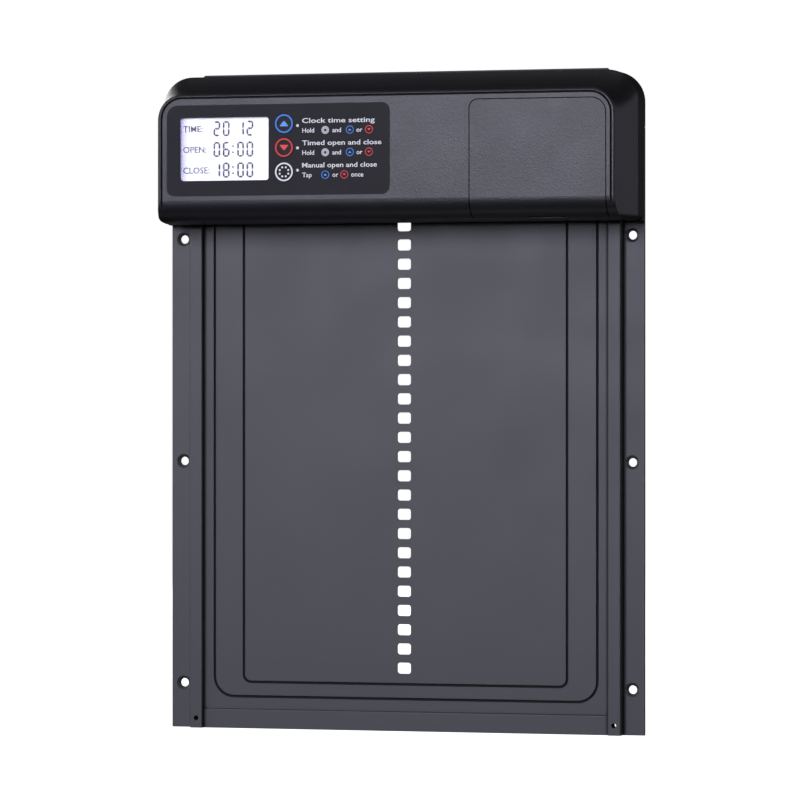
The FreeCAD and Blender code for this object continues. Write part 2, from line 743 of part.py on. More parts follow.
def lid_outline(gap):
    """The battery lid seen from the front, running off below."""
    return rounded(s.lid_left - gap, s.lid_right + gap, s.case_foot - 5.0, s.lid_head + gap,
                   (0.5, 0.5, s.lid_round_right + gap, s.lid_round_left + gap))


KEYS = (("button_up", s.key_up_level), ("button_down", s.key_down_level), ("button_set", s.key_set_level))


def nail_outline(foot):
    """The fingernail slot under the lid seen from the front, from foot up."""
    half = s.nail_width / 2
    return rounded(s.nail_side - half, s.nail_side + half, foot, s.nail_head, s.nail_round)


def label_outline():
    return rounded(s.label_left, s.label_right, s.label_foot, s.label_head,
                   (s.label_round, s.label_round, s.label_round, s.label_round + 1.5))


def display_outline(gap):
    return rounded(s.display_left + gap, s.display_right - gap, s.display_foot + gap, s.display_head - gap,
                   s.display_round)


def front_cover():
    """Front half of the housing with the display, key and battery openings."""
    body = new_body("front_cover")
    wall_form(body, s.rim_round)
    front, inside = -s.case_face, -cover_inside
    flank = (s.line_width - s.groove_floor) / 2
    mouth, floor = [
        [arch(s.line_side - inset, s.case_foot, s.line_head - inset, s.line_round - inset, width)]
        for inset, width in ((0.0, s.line_width), (flank, s.groove_floor))]
    groove(body, front, s.line_depth, mouth, floor)
    pocket(body, "XZ", front, front + s.label_thick - s.label_proud, label_outline())
    pocket(body, "XZ", front, inside, display_outline(-0.05))
    pocket(body, "XZ", front, inside, *[disc(s.key_side, z, s.key_round + s.key_gap) for _, z in KEYS])
    pocket(body, "XZ", front - 1.0, -s.lid_hem + s.lid_gap, lid_outline(s.lid_gap))
    pocket(body, "XZ", -s.lid_hem - 0.5, -s.nail_back, nail_outline(s.nail_foot))
    for side in (-1, 1):
        for level in (s.cover_screw_low, s.cover_screw_high):
            place_on_face = (s.cover_screw_side * side, level)
            pad(body, "XZ", -s.boss_front, -base_front - 0.02,
                disc(*place_on_face, s.boss_round), disc(*place_on_face, s.cover_screw / 2 + 0.05))


def back_plate():
    """Plate behind the door above the rails, with a tongue behind the rack."""
    body = new_body("back_plate")
    half, tongue, low, step, high = s.plate_half, s.tongue_half, s.plate_foot, s.plate_step, s.plate_head
    cut = s.case_round - s.case_wall
    pad(body, "XZ", -s.plate_thick, 0.0, polygon(
        (-tongue, low), (tongue, low), (tongue, step), (half, step), (half, high - cut), (half - cut, high),
        (-half + cut, high), (-half, high - cut), (-half, step), (-tongue, step)))
    pocket(body, "XZ", -s.plate_thick, 0.0, pinion_window(2.0))
    holes = [disc(s.cover_screw_side * side, s.cover_screw_high, s.cover_screw_hole / 2) for side in (-1, 1)]
    pocket(body, "XZ", -s.plate_thick, 0.0, *holes)
    sink(body, s.cover_screw_high)


def cover_screws():
    """Four countersunk screws, driven from behind into the cover's bosses."""
    pieces = []
    for side in (-1, 1):
        for level in (s.cover_screw_low, s.cover_screw_high):
            x = s.cover_screw_side * side
            head = cone(s.cover_screw, s.cover_screw / 2, 1.4, x, 0.0, level, **FORWARD)
            shank = cylinder(s.cover_screw / 2, s.boss_front - 3.0, x, 0.0, level, **FORWARD)
            pieces += [head, shank]
    fused("cover_screws", pieces)


# ---------------------------------------------------------------- label, display and keys

def front_label():
    body = new_body("front_label")
    front = -s.case_face - s.label_proud
    keys = [disc(s.key_side, z, s.key_round + s.key_gap) for _, z in KEYS]
    pad(body, "XZ", front, front + s.label_thick - 0.01, label_outline(), display_outline(0.0), *keys)


def display_window():
    body = new_body("display_window")
    pad(body, "XZ", -s.case_face - s.label_proud, -s.window_back, display_outline(0.05))


def display_module():
    """Liquid crystal panel with its backlight, in a frame on the board."""
    body = new_body("display_module")
    pad(body, "XZ", -cover_inside + 0.1, -board_front, rectangle(
        s.display_left - 1.5, s.display_right + 1.5, s.display_foot - 2.5, s.display_head + 2.5))
    dress(body, "Chamfer", 0.5, lambda p: near(p.y, -cover_inside + 0.1))


def key(label, level):
    """Round key cap with a wider rim behind the cover."""
    body = new_body(label)
    rim_front = -cover_inside + 0.08
    pad(body, "XZ", rim_front, -s.key_rim_back, disc(0.0, 0.0, s.key_rim_round))
    pad(body, "XZ", -s.case_face - s.key_proud, rim_front, disc(0.0, 0.0, s.key_round))
    dress(body, "Fillet", 0.3, lambda p: near(p.y, -s.case_face - s.key_proud))
    place(body, s.key_side, 0.0, level)


def tact_switches():
    """Three push switches on the board behind the keys."""
    pieces = []
    for _, level in KEYS:
        pieces.append(box(6.0, 3.5, 6.0, s.key_side - 3.0, -board_front - 3.5, level - 3.0))
        plunger_front = s.key_rim_back - s.key_travel - 0.08
        pieces.append(cylinder(1.7, plunger_front - board_front, s.key_side, -board_front, level, **FORWARD))
    fused("tact_switches", pieces)


board_screw_places = ((s.board_left + 3.5, s.board_foot + 3.5), (s.board_left + 3.5, s.board_head - 3.5),
                      (s.board_right - 16.0, s.board_foot + 4.0), (s.board_right - 16.0, s.board_head - 4.0))


def control_board():
    body = new_body("control_board")
    pad(body, "XZ", -board_front, -s.board_back, rounded(
        s.board_left, s.board_right, s.board_foot, s.board_head, 2.0))
    holes = [disc(x, z, 1.2) for x, z in board_screw_places]
    pocket(body, "XZ", -board_front, -s.board_back, *holes)


def board_standoffs():
    """Standoffs that carry the board off the shell's base wall, and their screws."""
    posts, screws = [], []
    for x, z in board_screw_places:
        length = s.board_back - base_front - 0.02
        post = cylinder(2.6, length, x, -base_front - 0.01, z, **FORWARD)
        hole = cylinder(1.1, 8.0, x, -s.board_back + 8.0, z, **FORWARD)
        bored = doc.addObject("Part::Cut", "post")
        bored.Base, bored.Tool = post, hole
        posts.append(bored)
        screws.append(cylinder(2.0, 1.3, x, -board_front - 0.01, z, **FORWARD))
        screws.append(cylinder(1.0, s.board_thick + 7.1, x, -s.board_back + 7.0, z, **FORWARD))
    fused("board_standoffs", posts)
    fused("board_screws", screws)


def board_components():
    """Controller, driver, buzzer, capacitors and the two lead sockets."""
    back = -s.board_back + 0.02
    pieces = [
        box(9.0, 1.6, 9.0, -85.0, back, 149.0),
        box(5.0, 1.5, 6.0, -40.0, back, 150.0),
        box(9.0, 5.0, 6.0, s.socket_side - 4.5, back, s.socket_motor_level - 3.0),
        box(9.0, 5.0, 6.0, s.socket_side - 4.5, back, s.socket_battery_level - 3.0),
        cylinder(3.2, 7.5, -60.0, back + 7.5, 163.0, **FORWARD),
        cylinder(3.2, 7.5, -70.0, back + 7.5, 163.0, **FORWARD),
        cylinder(6.0, 6.0, -28.0, back + 6.0, 140.0, **FORWARD),
    ]
    fused("board_components", pieces)


# ---------------------------------------------------------------- drive

def toothed(body, tooth, root_radius, width, count):
    """A hub along X with one tooth repeated round it."""
    pad(body, "YZ", -width / 2, width / 2, disc(0.0, 0.0, root_radius))
    first = pad(body, "YZ", -width / 2, width / 2, polygon(*tooth))
    doc.recompute()
    repeat(body, first, "PolarPattern", Axis=(origin_feature(body, "X_Axis"), [""]), Angle=360.0,
           Occurrences=int(count.value))


def rack_pinion():
    """Eight-tooth pinion whose teeth pass through the door's slots."""
    body = new_body("rack_pinion")
    root, pitch, tip = 9.0, number(pinion_pitch_round), number(pinion_pitch_round) + 1.2
    tooth = ((root - 1.0, -2.9), (root + 1.6, -2.45), (pitch, -2.05), (tip, -1.3),
             (tip, 1.3), (pitch, 2.05), (root + 1.6, 2.45), (root - 1.0, 2.9))
    toothed(body, tooth, root, s.pinion_width, s.pinion_teeth)
    for low, high in ((-number(s.pinion_width) / 2 - 2.5, -s.pinion_width / 2),
                      (s.pinion_width / 2, number(s.pinion_width) / 2 + 2.5)):
        pad(body, "YZ", low, high, disc(0.0, 0.0, 5.5))
    pocket(body, "YZ", -6.0, 6.0, disc(0.0, 0.0, s.shaft_round))
    place(body, 0.0, -axle_depth, axle_level)


def worm_wheel():
    body = new_body("worm_wheel")
    pitch = number(wheel_pitch_round)
    tooth = ((pitch - 1.3, -0.75), (pitch, -0.45), (pitch + 0.75, -0.22),
             (pitch + 0.75, 0.22), (pitch, 0.45), (pitch - 1.3, 0.75))
    toothed(body, tooth, pitch - 1.0, s.wheel_width, s.wheel_teeth)
    pad(body, "YZ", -s.wheel_width / 2 - 3.0, -s.wheel_width / 2, disc(0.0, 0.0, 4.4))
    pocket(body, "YZ", -6.0, 6.0, disc(0.0, 0.0, s.shaft_round))
    place(body, s.wheel_side, -axle_depth, axle_level)


def worm():
    """Right-hand worm on the gearmotor's output shaft."""
    body = new_body("worm")
    pitch = number(worm_pitch)
    core, crest, turns = number(s.worm_round) - 0.95, number(s.worm_round) + 0.75, 5
    low = pitch / 4 - 3 * pitch
    profile = new_sketch(body, "XZ", 0.0, [polygon(
        (core - 0.3, low - 0.62), (crest, low - 0.22), (crest, low + 0.22), (core - 0.3, low + 0.62))])
    doc.recompute()
    thread = body.newObject("PartDesign::AdditiveHelix", "worm_thread")
    thread.Profile = profile
    thread.ReferenceAxis = (profile, ["V_Axis"])
    thread.Mode = 0
    thread.Pitch = pitch
    thread.Height = pitch * turns
    doc.recompute()
    pad(body, "XY", low - 0.9, low + pitch * turns + 0.9, disc(0.0, 0.0, core))
    pocket(body, "XY", low - 1.0, low + pitch * turns + 1.0, disc(0.0, 0.0, 1.5))
    place(body, s.wheel_side, -worm_depth, axle_level)


def gearmotor():
    """Motor can on a small open gearbox, output shaft pointing down."""
    x, y, z = s.wheel_side, -worm_depth, gearbox_foot
    wide, deep, box_high, can_high = 12.0, 10.0, 9.2, 15.0
    left, front = x - wide / 2, y - deep / 2
    plates = [box(wide, deep, thick, left, front, z + level)
              for level, thick in ((0.0, 1.2), (4.2, 0.8), (8.0, 1.2))]
    posts = [cylinder(0.8, 9.0, x + dx, y + dy, z) for dx in (-4.8, 4.8) for dy in (-3.8, 3.8)]
    # two gear clusters, each a wheel on its arbor
    gears = [cylinder(3.4, 2.4, x - 1.2, y, z + 1.5), cylinder(2.4, 2.6, x + 2.2, y + 0.6, z + 5.2)]
    arbors = [cylinder(0.5, 9.0, x - 1.2, y, z), cylinder(0.5, 9.0, x + 2.2, y + 0.6, z)]
    fused("reduction_gearbox", plates + posts + gears + arbors)
    can = doc.addObject("Part::Common", "can")
    can.Base = cylinder(wide / 2, can_high, x, y, z + box_high)
    can.Tool = box(wide, deep, can_high, left, front, z + box_high)
    top = z + box_high + can_high
    cap = cylinder(4.2, 1.0, x, y, top)
    tabs = [box(0.5, 2.0, 2.0, x + dx - 0.25, y - 1.0, top) for dx in (-s.motor_tab_reach, s.motor_tab_reach)]
    fused("motor", [can, cap] + tabs)
    shaft = cylinder(1.5, 13.9, x, y, z - 13.95)
    keep(shaft, "output_shaft")


def drive_shaft():
    shaft = cylinder(s.shaft_round, s.shaft_right - s.shaft_left,
                     s.shaft_left, -axle_depth, axle_level, **SIDEWAYS)
    clips = []
    for x in (s.shaft_left + 0.4, s.shaft_right - 1.2):
        outer = cylinder(4.2, 0.8, x, -axle_depth, axle_level, **SIDEWAYS)
        inner = cylinder(s.shaft_round, 0.8, x, -axle_depth, axle_level, **SIDEWAYS)
        clip = doc.addObject("Part::Cut", "clip")
        clip.Base, clip.Tool = outer, inner
        clips.append(clip)
    keep(shaft, "drive_shaft")
    fused("shaft_clips", clips)


def shaft_bushes():
    """Two flanged plain bushes for the cross shaft."""
    pieces = []
    for x, flange_x in ((s.cheek_left, s.cheek_left + s.cheek_thick), (s.cheek_right, s.cheek_right - 1.0)):
        sleeve = cylinder(3.8, s.cheek_thick, x, -axle_depth, axle_level, **SIDEWAYS)
        flange = cylinder(4.55, 1.0, flange_x, -axle_depth, axle_level, **SIDEWAYS)
        bore = cylinder(s.shaft_round + s.bush_play, 8.0, x - 3.0, -axle_depth, axle_level, **SIDEWAYS)
        whole = doc.addObject("Part::Fuse", "bush")
        whole.Base, whole.Tool = sleeve, flange
        bush = doc.addObject("Part::Cut", "bored_bush")
        bush.Base, bush.Tool = whole, bore
        pieces.append(bush)
    fused("shaft_bushes", pieces)


def gear_bracket():
    """Moulded bracket: two cheeks for the shaft, a shelf and a block for the motor."""
    body = new_body("gear_bracket")
    foot, back, wall = axle_level - 14.0, base_front + 0.01, 1.2
    head = axle_level + 33.0
    front = back + wall
    pad(body, "XZ", -front, -back, rounded(s.cheek_left - 4.0, s.cheek_right + 6.0, foot, head, 2.0))
    pocket(body, "XZ", -front, -back, pinion_window(1.0), wheel_window(1.0))
    for x in (s.cheek_left, s.cheek_right):
        pad(body, "YZ", x, x + s.cheek_thick, rounded(
            -axle_depth - 6.5, -back, axle_level - 6.5, axle_level + 6.5, 1.0))
        pocket(body, "YZ", x, x + s.cheek_thick, disc(-axle_depth, axle_level, 3.82))
    shelf_head = gearbox_foot - 0.02
    pad(body, "XY", shelf_head - 1.5, shelf_head, rounded(
        s.wheel_side - 10.5, s.wheel_side + 10.5, -worm_depth - 6.5, -back, 1.0))
    pocket(body, "XY", shelf_head - 2.0, shelf_head + 1.0,
           disc(s.wheel_side, -worm_depth, 2.2),
           rounded(s.wheel_side - 3.5, s.wheel_side + 3.5, -axle_depth - 6.5, -back - 0.4, 0.5))
    pad(body, "XZ", -block_front, -back, rounded(
        s.wheel_side - 11.5, s.wheel_side + 11.5, shelf_head + 4.0, shelf_head + 20.0, 1.0))
    holes = [disc(x, z, 1.6) for x, z in bracket_screw_places]
    pocket(body, "XZ", -front, -back, *holes)
    pilots = [disc(s.wheel_side + dx, clamp_level, 1.1) for dx in (-s.clamp_screw_reach, s.clamp_screw_reach)]
    pocket(body, "XZ", -block_front, -block_front + 8.0, *pilots)


def motor_clamp():
    """Strap that holds the motor against the bracket's block."""
    body = new_body("motor_clamp")
    x, inner, wall, ear = s.wheel_side, 6.1, 1.3, 11.4
    back, front = -block_front - 0.02, -worm_depth - 5.1
    low, high = clamp_level - 3.5, clamp_level + 3.5
    outer = inner + wall
    pad(body, "XY", low, high, polygon(
        (x - ear, back), (x - ear, back - wall), (x - outer, back - wall), (x - outer, front - wall),
        (x + outer, front - wall), (x + outer, back - wall), (x + ear, back - wall), (x + ear, back),
        (x + inner, back), (x + inner, front), (x - inner, front), (x - inner, back)))
    holes = [disc(x + dx, clamp_level, 1.2) for dx in (-s.clamp_screw_reach, s.clamp_screw_reach)]
    pocket(body, "XZ", back - wall, back, *holes)


def small_screws():
    """Pan-head screws of the bracket and of the motor clamp."""
    pieces = []
    for x, z in bracket_screw_places:
        pieces.append(cylinder(2.7, 1.6, x, -base_front - 1.23, z, **FORWARD))
        pieces.append(cylinder(1.45, 3.0, x, -base_front + 1.7, z, **FORWARD))
    fused("bracket_screws", pieces)
    pieces = []
    for dx in (-s.clamp_screw_reach, s.clamp_screw_reach):
        x, y = s.wheel_side + dx, -block_front - 1.34
        pieces.append(cylinder(1.7, 1.2, x, y, clamp_level, **FORWARD))
        pieces.append(cylinder(1.0, 8.0, x, y + 8.0, clamp_level, **FORWARD))
    fused("clamp_screws", pieces)


def lead(points, radius):
    """A wire along straight runs joined by tangent arcs."""
    points = [FreeCAD.Vector(*[number(value) for value in point]) for point in points]
    edges, start = [], points[0]
    for before, corner, after in zip(points, points[1:], points[2:]):
        arriving, leaving = (corner - before), (after - corner)
        reach = 0.45 * min(arriving.Length, leaving.Length)
        arriving.normalize()
        leaving.normalize()
        first, last = corner - arriving * reach, corner + leaving * reach
        half_turn = arriving.getAngle(leaving) / 2
        bend = reach / math.tan(half_turn)
        toward = (leaving - arriving).normalize()
        middle = corner + toward * (bend / math.cos(half_turn) - bend)
        edges += [Part.LineSegment(start, first).toShape(), Part.Arc(first, middle, last).toShape()]
        start = last
    edges.append(Part.LineSegment(start, points[-1]).toShape())
    spine = Part.Wire(edges)
    circle = Part.Circle(points[0], points[1] - points[0], radius)
    tube = spine.makePipeShell([Part.Wire(circle.toShape())], True, True, 2)
    length = sum(edge.Length for edge in edges)
    if abs(tube.Volume - math.pi * radius ** 2 * length) > 0.01 * tube.Volume:
        raise RuntimeError("a lead has the wrong volume")
    return tube


def leads(label, routes):
    wires = doc.addObject("Part::Feature", label)
    wires.Shape = Part.makeCompound([lead(route, 0.55) for route in routes])
    keep(wires, label)


def motor_leads():
    """Two wires from the motor's tabs, over the bracket, to the board's upper socket."""
    routes = []
    for shift, tab in ((-1.1, -s.motor_tab_reach), (1.1, s.motor_tab_reach)):
        x, socket = s.wheel_side + tab, s.socket_side + shift
        routes.append((
            (x, -worm_depth + 1.05, 178.5), (x, -23.0, 178.8), (x - 3.0 + shift, -18.5 + shift, 179.6),
            (4.0, -16.0 + shift, 179.2), (-7.0 + shift, -16.0, 174.0), (socket, -17.0, 165.0),
            (socket, -20.5, s.socket_motor_level + 1.0), (socket, -s.board_back + 5.1, s.socket_motor_level)))
    leads("motor_leads", routes)


def battery_leads():
    """Two wires from the battery tray to the board's lower socket."""
    routes = []
    for shift in (-1.1, 1.1):
        socket = s.socket_side + shift
        routes.append((
            (s.tray_left - 0.02, -24.0 + shift, 170.0), (41.9, -24.0 + shift, 170.0),
            (38.0, -18.5 + shift, 175.0), (26.0, -15.0 + shift, 181.8), (6.0, -14.6 + shift, 182.4),
            (-7.0, -14.4 + shift, 178.5), (socket, -14.4 + shift, 166.0), (socket, -17.0, 154.0),
            (socket, -21.5, s.socket_battery_level + 0.5),
            (socket, -s.board_back + 5.1, s.socket_battery_level)))
    leads("battery_leads", routes)


# ---------------------------------------------------------------- battery bay

def battery_lid():
    """Lid that swings on its upper front edge; the backs of its two tabs are round about that edge."""
    body = new_body("battery_lid")
    wall_form(body, 0.0)
    mask = new_body("lid_mask", kept=False)
    pad(mask, "XZ", -s.case_face - 1.0, -s.lid_hem, lid_outline(0.0))
    combine(body, "Common", mask)
    tab_back = -s.case_face + s.tab_round
    tip_front = -s.case_face + s.tab_round * cosine(s.tab_angle)
    tip_head = s.lid_head + s.tab_round * sine(s.tab_angle)
    for middle in (s.tab_first, s.tab_last):
        pad(body, "YZ", middle - s.tab_width / 2, middle + s.tab_width / 2, path(
            ((-cover_inside, s.lid_head - s.tab_root), (tab_back, s.lid_head - s.tab_root),
             (tab_back, s.lid_head), (tip_front, tip_head), (tip_front, s.lid_head - s.lid_gap),
             (-cover_inside, s.lid_head - s.lid_gap)),
            {2: (s.tab_round, -s.case_face, s.lid_head)}))
    pocket(body, "XZ", -s.nail_front, -s.lid_hem + 1.0, nail_outline(s.case_foot))


def cells():
    """Four AA cells side by side, every second one turned over."""
    pieces = []
    middle = (s.lid_left + s.lid_right) / 2
    for index in range(4):
        x = middle + (index - 1.5) * s.cell_step
        up = index % 2 == 0
        body_foot = s.cell_foot if up else s.cell_foot + 1.2
        nipple_foot = s.cell_foot + s.cell_length - 1.2 if up else s.cell_foot
        pieces.append(cylinder(s.cell_round, s.cell_length - 1.2, x, -s.cell_depth, body_foot))
        pieces.append(cylinder(2.7, 1.2, x, -s.cell_depth, nipple_foot))
    fused("battery_cells", pieces)


def battery_tray():
    """Open tray for the cells, on two posts."""
    body = new_body("battery_tray")
    wall = s.tray_wall
    pad(body, "XZ", -s.tray_front, -s.tray_back, rounded(
        s.tray_left, s.tray_right, s.tray_foot, s.tray_head, (1.5, 1.5, 3.5, 1.5)))
    pocket(body, "XZ", -s.tray_front, -s.tray_back - wall, rounded(
        s.tray_left + wall, s.tray_right - wall, s.tray_foot + wall, s.tray_head - wall,
        (0.6, 0.6, 2.1, 0.6)))
    posts = [disc(x, s.tray_post_level, 3.4) for x in tray_post_places]
    pad(body, "XZ", -s.tray_back, -base_front - 0.02, *posts)
    pilots = [disc(x, s.tray_post_level, s.screw_pilot) for x in tray_post_places]
    pocket(body, "XZ", -s.tray_back - wall, -base_front, *pilots)


def tray_fittings():
    """Screws, contact plates and contact springs of the tray."""
    pieces = []
    floor, level = -s.tray_back - s.tray_wall, s.tray_post_level
    for x in tray_post_places:
        pieces.append(cylinder(2.5, 1.4, x, floor - 0.02, level, **FORWARD))
        pieces.append(cylinder(1.45, 12.1, x, floor + 12.0, level, **FORWARD))
    fused("tray_screws", pieces)
    plates, springs = [], []
    middle = (s.lid_left + s.lid_right) / 2
    low = s.tray_foot + s.tray_wall + 0.02
    high = s.tray_head - s.tray_wall - 0.42
    for index in range(4):
        x = middle + (index - 1.5) * s.cell_step
        for level in (low, high):
            plates.append(box(11.4, 11.0, 0.4, x - 5.7, -s.cell_depth - 5.5, level))
        spring_low = index % 2 == 0
        if spring_low:
            gap = number(s.cell_foot) - (number(low) + 0.4)
            springs.append(spring(x, number(low) + 0.4, gap))
        else:
            start = number(s.cell_foot) + number(s.cell_length)
            springs.append(spring(x, start, number(high) - start))
    fused("contact_plates", plates)
    fused("contact_springs", springs)


def spring(x, z, height):
    """A contact spring, pressed nearly flat under its cell."""
    outer = cylinder(4.5, height, x, -s.cell_depth, z)
    inner = cylinder(3.3, height, x, -s.cell_depth, z)
    coil = doc.addObject("Part::Cut", "spring")
    coil.Base, coil.Tool = outer, inner
    return coil


def lid_pad():
    """Foam strip inside the lid that keeps the cells from rattling."""
    body = new_body("lid_pad")
    pad(body, "XZ", -cover_inside + 0.02, -s.cell_depth - s.cell_round - 0.6, rounded(
        s.lid_left + 10.0, s.lid_right - 10.0, 143.0, 155.0, 1.5))


# ---------------------------------------------------------------- build

rail("left_rail", -1)
rail("right_rail", 1)
sill_bar()
door_panel()
rear_shell()
back_plate()
front_cover()
cover_screws()
front_label()
display_window()
display_module()
for key_label, key_level in KEYS:
    key(key_label, key_level)
tact_switches()
control_board()
board_standoffs()
board_components()
rack_pinion()
worm_wheel()
worm()
gearmotor()
drive_shaft()
shaft_bushes()
gear_bracket()
motor_clamp()
small_screws()
motor_leads()
battery_leads()
battery_lid()
lid_pad()
cells()
battery_tray()
tray_fittings()


# ---------------------------------------------------------------- check and write

doc.recompute()
for thing in doc.Objects:
    if "Invalid" in thing.State or "Error" in thing.State:
        raise RuntimeError("%s failed: %s" % (thing.Name, thing.State))
os.makedirs("parts", exist_ok=True)
for thing in parts:
    shape = thing.Shape
    if shape.isNull() or not shape.isValid() or not shape.Solids:
        raise RuntimeError("%s has no valid shape" % thing.Label)
    bounds = shape.BoundBox
    print("%-18s %d solids %9.1f mm3  X %.2f %.2f  Y %.2f %.2f  Z %.2f %.2f" % (
        thing.Label, len(shape.Solids), shape.Volume, bounds.XMin, bounds.XMax,
        bounds.YMin, bounds.YMax, bounds.ZMin, bounds.ZMax))
    shape.exportStep("parts/%s.step" % thing.Label)
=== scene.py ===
import json
import math

import bmesh
import bpy
from mathutils import Matrix, Vector


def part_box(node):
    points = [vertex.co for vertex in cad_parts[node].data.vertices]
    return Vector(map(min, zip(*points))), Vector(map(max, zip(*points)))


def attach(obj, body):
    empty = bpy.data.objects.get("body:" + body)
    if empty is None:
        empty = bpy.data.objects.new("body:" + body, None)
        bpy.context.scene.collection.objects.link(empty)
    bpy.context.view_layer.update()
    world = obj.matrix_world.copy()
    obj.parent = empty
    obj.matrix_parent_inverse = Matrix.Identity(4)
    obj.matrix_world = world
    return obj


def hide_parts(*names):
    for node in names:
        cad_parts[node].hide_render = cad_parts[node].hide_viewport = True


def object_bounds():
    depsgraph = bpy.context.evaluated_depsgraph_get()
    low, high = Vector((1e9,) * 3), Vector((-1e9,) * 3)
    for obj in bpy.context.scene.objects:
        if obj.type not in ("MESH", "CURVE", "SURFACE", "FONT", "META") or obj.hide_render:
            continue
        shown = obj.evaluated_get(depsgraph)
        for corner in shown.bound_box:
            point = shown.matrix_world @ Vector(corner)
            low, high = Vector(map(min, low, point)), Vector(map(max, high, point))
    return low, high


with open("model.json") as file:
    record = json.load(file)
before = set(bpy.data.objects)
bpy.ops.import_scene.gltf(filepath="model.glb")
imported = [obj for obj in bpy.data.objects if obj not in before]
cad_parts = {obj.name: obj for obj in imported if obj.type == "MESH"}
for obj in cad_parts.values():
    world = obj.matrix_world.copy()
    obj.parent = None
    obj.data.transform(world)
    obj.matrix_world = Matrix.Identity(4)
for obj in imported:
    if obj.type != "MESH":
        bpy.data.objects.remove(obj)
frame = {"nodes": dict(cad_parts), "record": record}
cad_low, cad_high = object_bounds()

# An automatic coop door: a sheet door in two rails under a housing with a display, three keys and a
# battery lid. The CAD nodes keep their shapes and get materials here. The key caps and the foam pad
# are replaced with finer pieces, and the display and the label get their figures, words and signs.

MM = 0.001
CENTRE = (cad_low + cad_high) / 2


# ---------------------------------------------------------------- materials

DARK_END, BRIGHT_END = 0.3, 0.7     # most values of a texture lie between these


class Finish:
    """One procedural material: a Principled shader and the textures that feed it."""

    def __init__(self, name, colour, roughness, **values):
        self.material = bpy.data.materials.new(name)
        self.material.use_nodes = True
        self.tree = self.material.node_tree
        self.shader = self.tree.nodes["Principled BSDF"]
        self.shader.inputs["Base Color"].default_value = (*colour, 1)
        self.shader.inputs["Roughness"].default_value = roughness
        for socket, value in values.items():
            self.shader.inputs[socket.replace("_", " ")].default_value = value
        self.place = self.tree.nodes.new("ShaderNodeTexCoord").outputs["Object"]

    def node(self, kind, **links):
        """A new node of this kind, with values or sockets given to its inputs."""
        made = self.tree.nodes.new("ShaderNode" + kind)
        for name, source in links.items():
            socket = made.inputs[name.replace("_", " ")]
            if isinstance(source, bpy.types.NodeSocket):
                self.tree.links.new(source, socket)
            else:
                socket.default_value = source
        return made

    def stretched(self, x, y, z):
        """The place on the object with each axis multiplied, for grain that runs one way."""
        return self.node("Mapping", Vector=self.place, Scale=(x, y, z)).outputs["Vector"]

    def noise(self, size, detail=2.0, place=None):
        """Soft cloudy noise whose blobs are about size metres across."""
        made = self.node("TexNoise", Vector=place or self.place, Scale=1 / size, Detail=detail)
        return made.outputs[0]

    def cells(self, size):
        """Small rounded cells about size metres across."""
        return self.node("TexVoronoi", Vector=self.place, Scale=1 / size).outputs["Distance"]

    def spread(self, source, start, end, low, high):
        """source, from start to end, spread over low to high and held at those ends."""
        ends = {"From_Min": start, "From_Max": end, "To_Min": low, "To_Max": high}
        return self.node("MapRange", Value=source, **ends).outputs["Result"]

    def along(self, axis, start, end):
        """Runs from the dark to the bright end between two places on an axis of the object."""
        place = self.node("SeparateXYZ", Vector=self.place).outputs[axis]
        return self.spread(place, start, end, DARK_END, BRIGHT_END)

    def colours(self, source, dark, light):
        """The surface colour runs from dark to light with source."""
        ramp = self.node("ValToRGB", Fac=source)
        ends = zip(ramp.color_ramp.elements, (DARK_END, BRIGHT_END), (dark, light))
        for element, position, colour in ends:
            element.position = position
            element.color = (*colour, 1)
        self.tree.links.new(ramp.outputs["Color"], self.shader.inputs["Base Color"])

    def gloss(self, source, low, high):
        """The roughness runs from low to high with source."""
        roughness = self.spread(source, DARK_END, BRIGHT_END, low, high)
        self.tree.links.new(roughness, self.shader.inputs["Roughness"])

    def relief(self, source, depth):
        """source raises the surface by up to depth metres, on top of any relief it has."""
        normal = self.shader.inputs["Normal"]
        values = {"Height": source, "Distance": depth, "Strength": 1.0}
        if normal.is_linked:
            values["Normal"] = normal.links[0].from_socket
        self.tree.links.new(self.node("Bump", **values).outputs["Normal"], normal)

    def painted_recess_shade(self, reach):
        """Painted shade: recesses narrower than about reach metres are darkened to near black by ambient
        occlusion, and lose their sheen.
        """
        buried, bare = 0.6, 0.95     # shares of the open air that a spot sees
        outside = self.node("AmbientOcclusion", Distance=reach).outputs["AO"]
        unshaded = self.spread(outside, buried, bare, 0.0, 1.0)
        colour, roughness = self.shader.inputs["Base Color"], self.shader.inputs["Roughness"]
        shades = {"Color1": (0.002, 0.002, 0.002, 1), "Color2": colour.links[0].from_socket}
        self.tree.links.new(self.node("MixRGB", Fac=unshaded, **shades).outputs["Color"], colour)
        dulled = self.spread(unshaded, 0.0, 1.0, 1.0, roughness.links[0].from_socket)
        self.tree.links.new(dulled, roughness)


def coated_aluminium():
    """Dark slate powder coat on aluminium: a fine orange peel and a slightly uneven sheen."""
    coat = Finish("coated_aluminium", (0.055, 0.055, 0.060), 0.5, Specular_IOR_Level=0.74)
    cloud = coat.noise(0.035, detail=3)
    coat.colours(cloud, (0.052, 0.052, 0.057), (0.058, 0.058, 0.063))
    coat.gloss(cloud, 0.48, 0.56)
    coat.relief(coat.noise(0.0009, detail=3), 0.00004)
    coat.relief(coat.noise(0.006), 0.00003)
    # painted shade: grooves, holes and gaps in the coat darken to near black
    coat.painted_recess_shade(0.0025)
    return coat.material


def case_plastic():
    """Moulded charcoal plastic with a fine spark-eroded grain that scatters small lights and darks."""
    case = Finish("case_plastic", (0.012, 0.012, 0.014), 0.40, Specular_IOR_Level=0.56)
    grain = case.noise(0.0008, detail=4)
    case.colours(grain, (0.009, 0.009, 0.011), (0.015, 0.015, 0.018))
    case.gloss(case.noise(0.02), 0.38, 0.42)
    case.relief(grain, 0.00007)
    case.relief(case.cells(0.0005), 0.00002)
    # painted shade: narrow gaps and recesses in the case darken to near black
    case.painted_recess_shade(0.0015)
    return case.material


